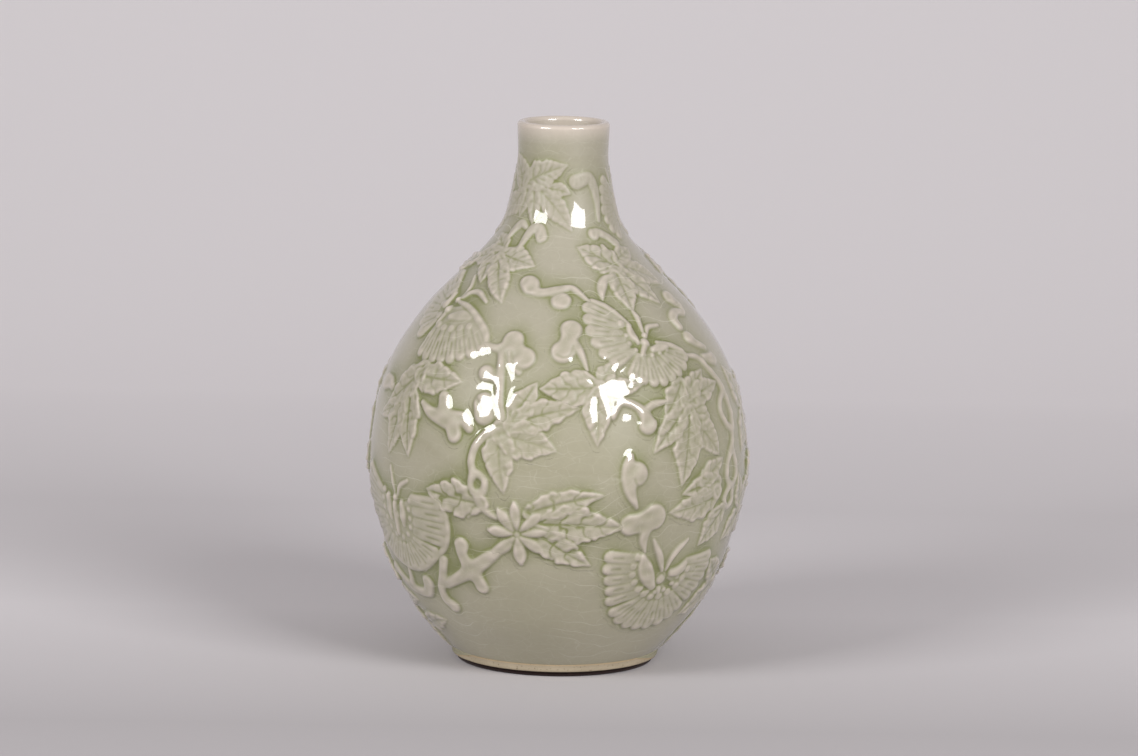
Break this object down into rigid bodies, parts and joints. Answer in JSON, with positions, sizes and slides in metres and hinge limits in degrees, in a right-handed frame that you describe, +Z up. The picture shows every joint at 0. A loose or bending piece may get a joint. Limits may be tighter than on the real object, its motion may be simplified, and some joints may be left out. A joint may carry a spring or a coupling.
{
  "type": "celadon vase",
  "caption": "Bottle-shaped glazed stoneware vase for cut stems: full round belly, narrow neck with a rolled lip, applied butterflies, leaf sprays and scrolls, on a low foot.",
  "frame": {"origin": "middle of the felt pad's underside, on the table that the vase stands on", "axes": "+Z up along the vase's axis, -Y towards the front that the picture shows, +X to that front's right"},
  "size_m": [0.1402, 0.1418, 0.2],
  "materials": {
    "wall_glaze": "glossy celadon glaze with a fine crackle",
    "relief_glaze": "glossy celadon glaze, thin and pale over raised clay",
    "biscuit": "matt unglazed stoneware",
    "felt": "matt pressed felt"
  },
  "bodies": {
    "root": {"lower_body": "wall_glaze", "upper_body": "wall_glaze", "neck": "wall_glaze", "foot_ring": "biscuit", "felt_pad": "felt", "butterfly_lower_left_front": "relief_glaze", "butterfly_lower_right_front": "relief_glaze", "butterfly_upper_left_front": "relief_glaze", "butterfly_upper_right_front": "relief_glaze", "butterfly_neck_front": "relief_glaze", "flower_spray_front": "relief_glaze", "leaf_spray_left_front": "relief_glaze", "leaf_spray_centre_front": "relief_glaze", "leaf_spray_high_front": "relief_glaze", "leaf_spray_right_front": "relief_glaze", "leaf_spray_low_right_front": "relief_glaze", "leaf_spray_shoulder_left_front": "relief_glaze", "leaf_spray_shoulder_right_front": "relief_glaze", "leaf_spray_neck_front": "relief_glaze", "leaf_spray_side_front": "relief_glaze", "leaf_spray_low_side_front": "relief_glaze", "leaf_spray_foot_front": "relief_glaze", "scroll_shoulder_front": "relief_glaze", "scroll_middle_front": "relief_glaze", "scroll_stem_front": "relief_glaze", "scroll_left_front": "relief_glaze", "scroll_right_front": "relief_glaze", "scroll_double_front": "relief_glaze", "scroll_low_left_front": "relief_glaze", "scroll_foot_left_front": "relief_glaze", "vine_right_front": "relief_glaze", "hook_neck_front": "relief_glaze", "butterfly_lower_left_back": "relief_glaze", "butterfly_lower_right_back": "relief_glaze", "butterfly_upper_left_back": "relief_glaze", "butterfly_upper_right_back": "relief_glaze", "butterfly_neck_back": "relief_glaze", "flower_spray_back": "relief_glaze", "leaf_spray_left_back": "relief_glaze", "leaf_spray_centre_back": "relief_glaze", "leaf_spray_high_back": "relief_glaze", "leaf_spray_right_back": "relief_glaze", "leaf_spray_low_right_back": "relief_glaze", "leaf_spray_shoulder_left_back": "relief_glaze", "leaf_spray_shoulder_right_back": "relief_glaze", "leaf_spray_neck_back": "relief_glaze", "leaf_spray_side_back": "relief_glaze", "leaf_spray_low_side_back": "relief_glaze", "leaf_spray_foot_back": "relief_glaze", "scroll_shoulder_back": "relief_glaze", "scroll_middle_back": "relief_glaze", "scroll_stem_back": "relief_glaze", "scroll_left_back": "relief_glaze", "scroll_right_back": "relief_glaze", "scroll_double_back": "relief_glaze", "scroll_low_left_back": "relief_glaze", "scroll_foot_left_back": "relief_glaze", "vine_right_back": "relief_glaze", "hook_neck_back": "relief_glaze"}
  },
  "joints": []
}
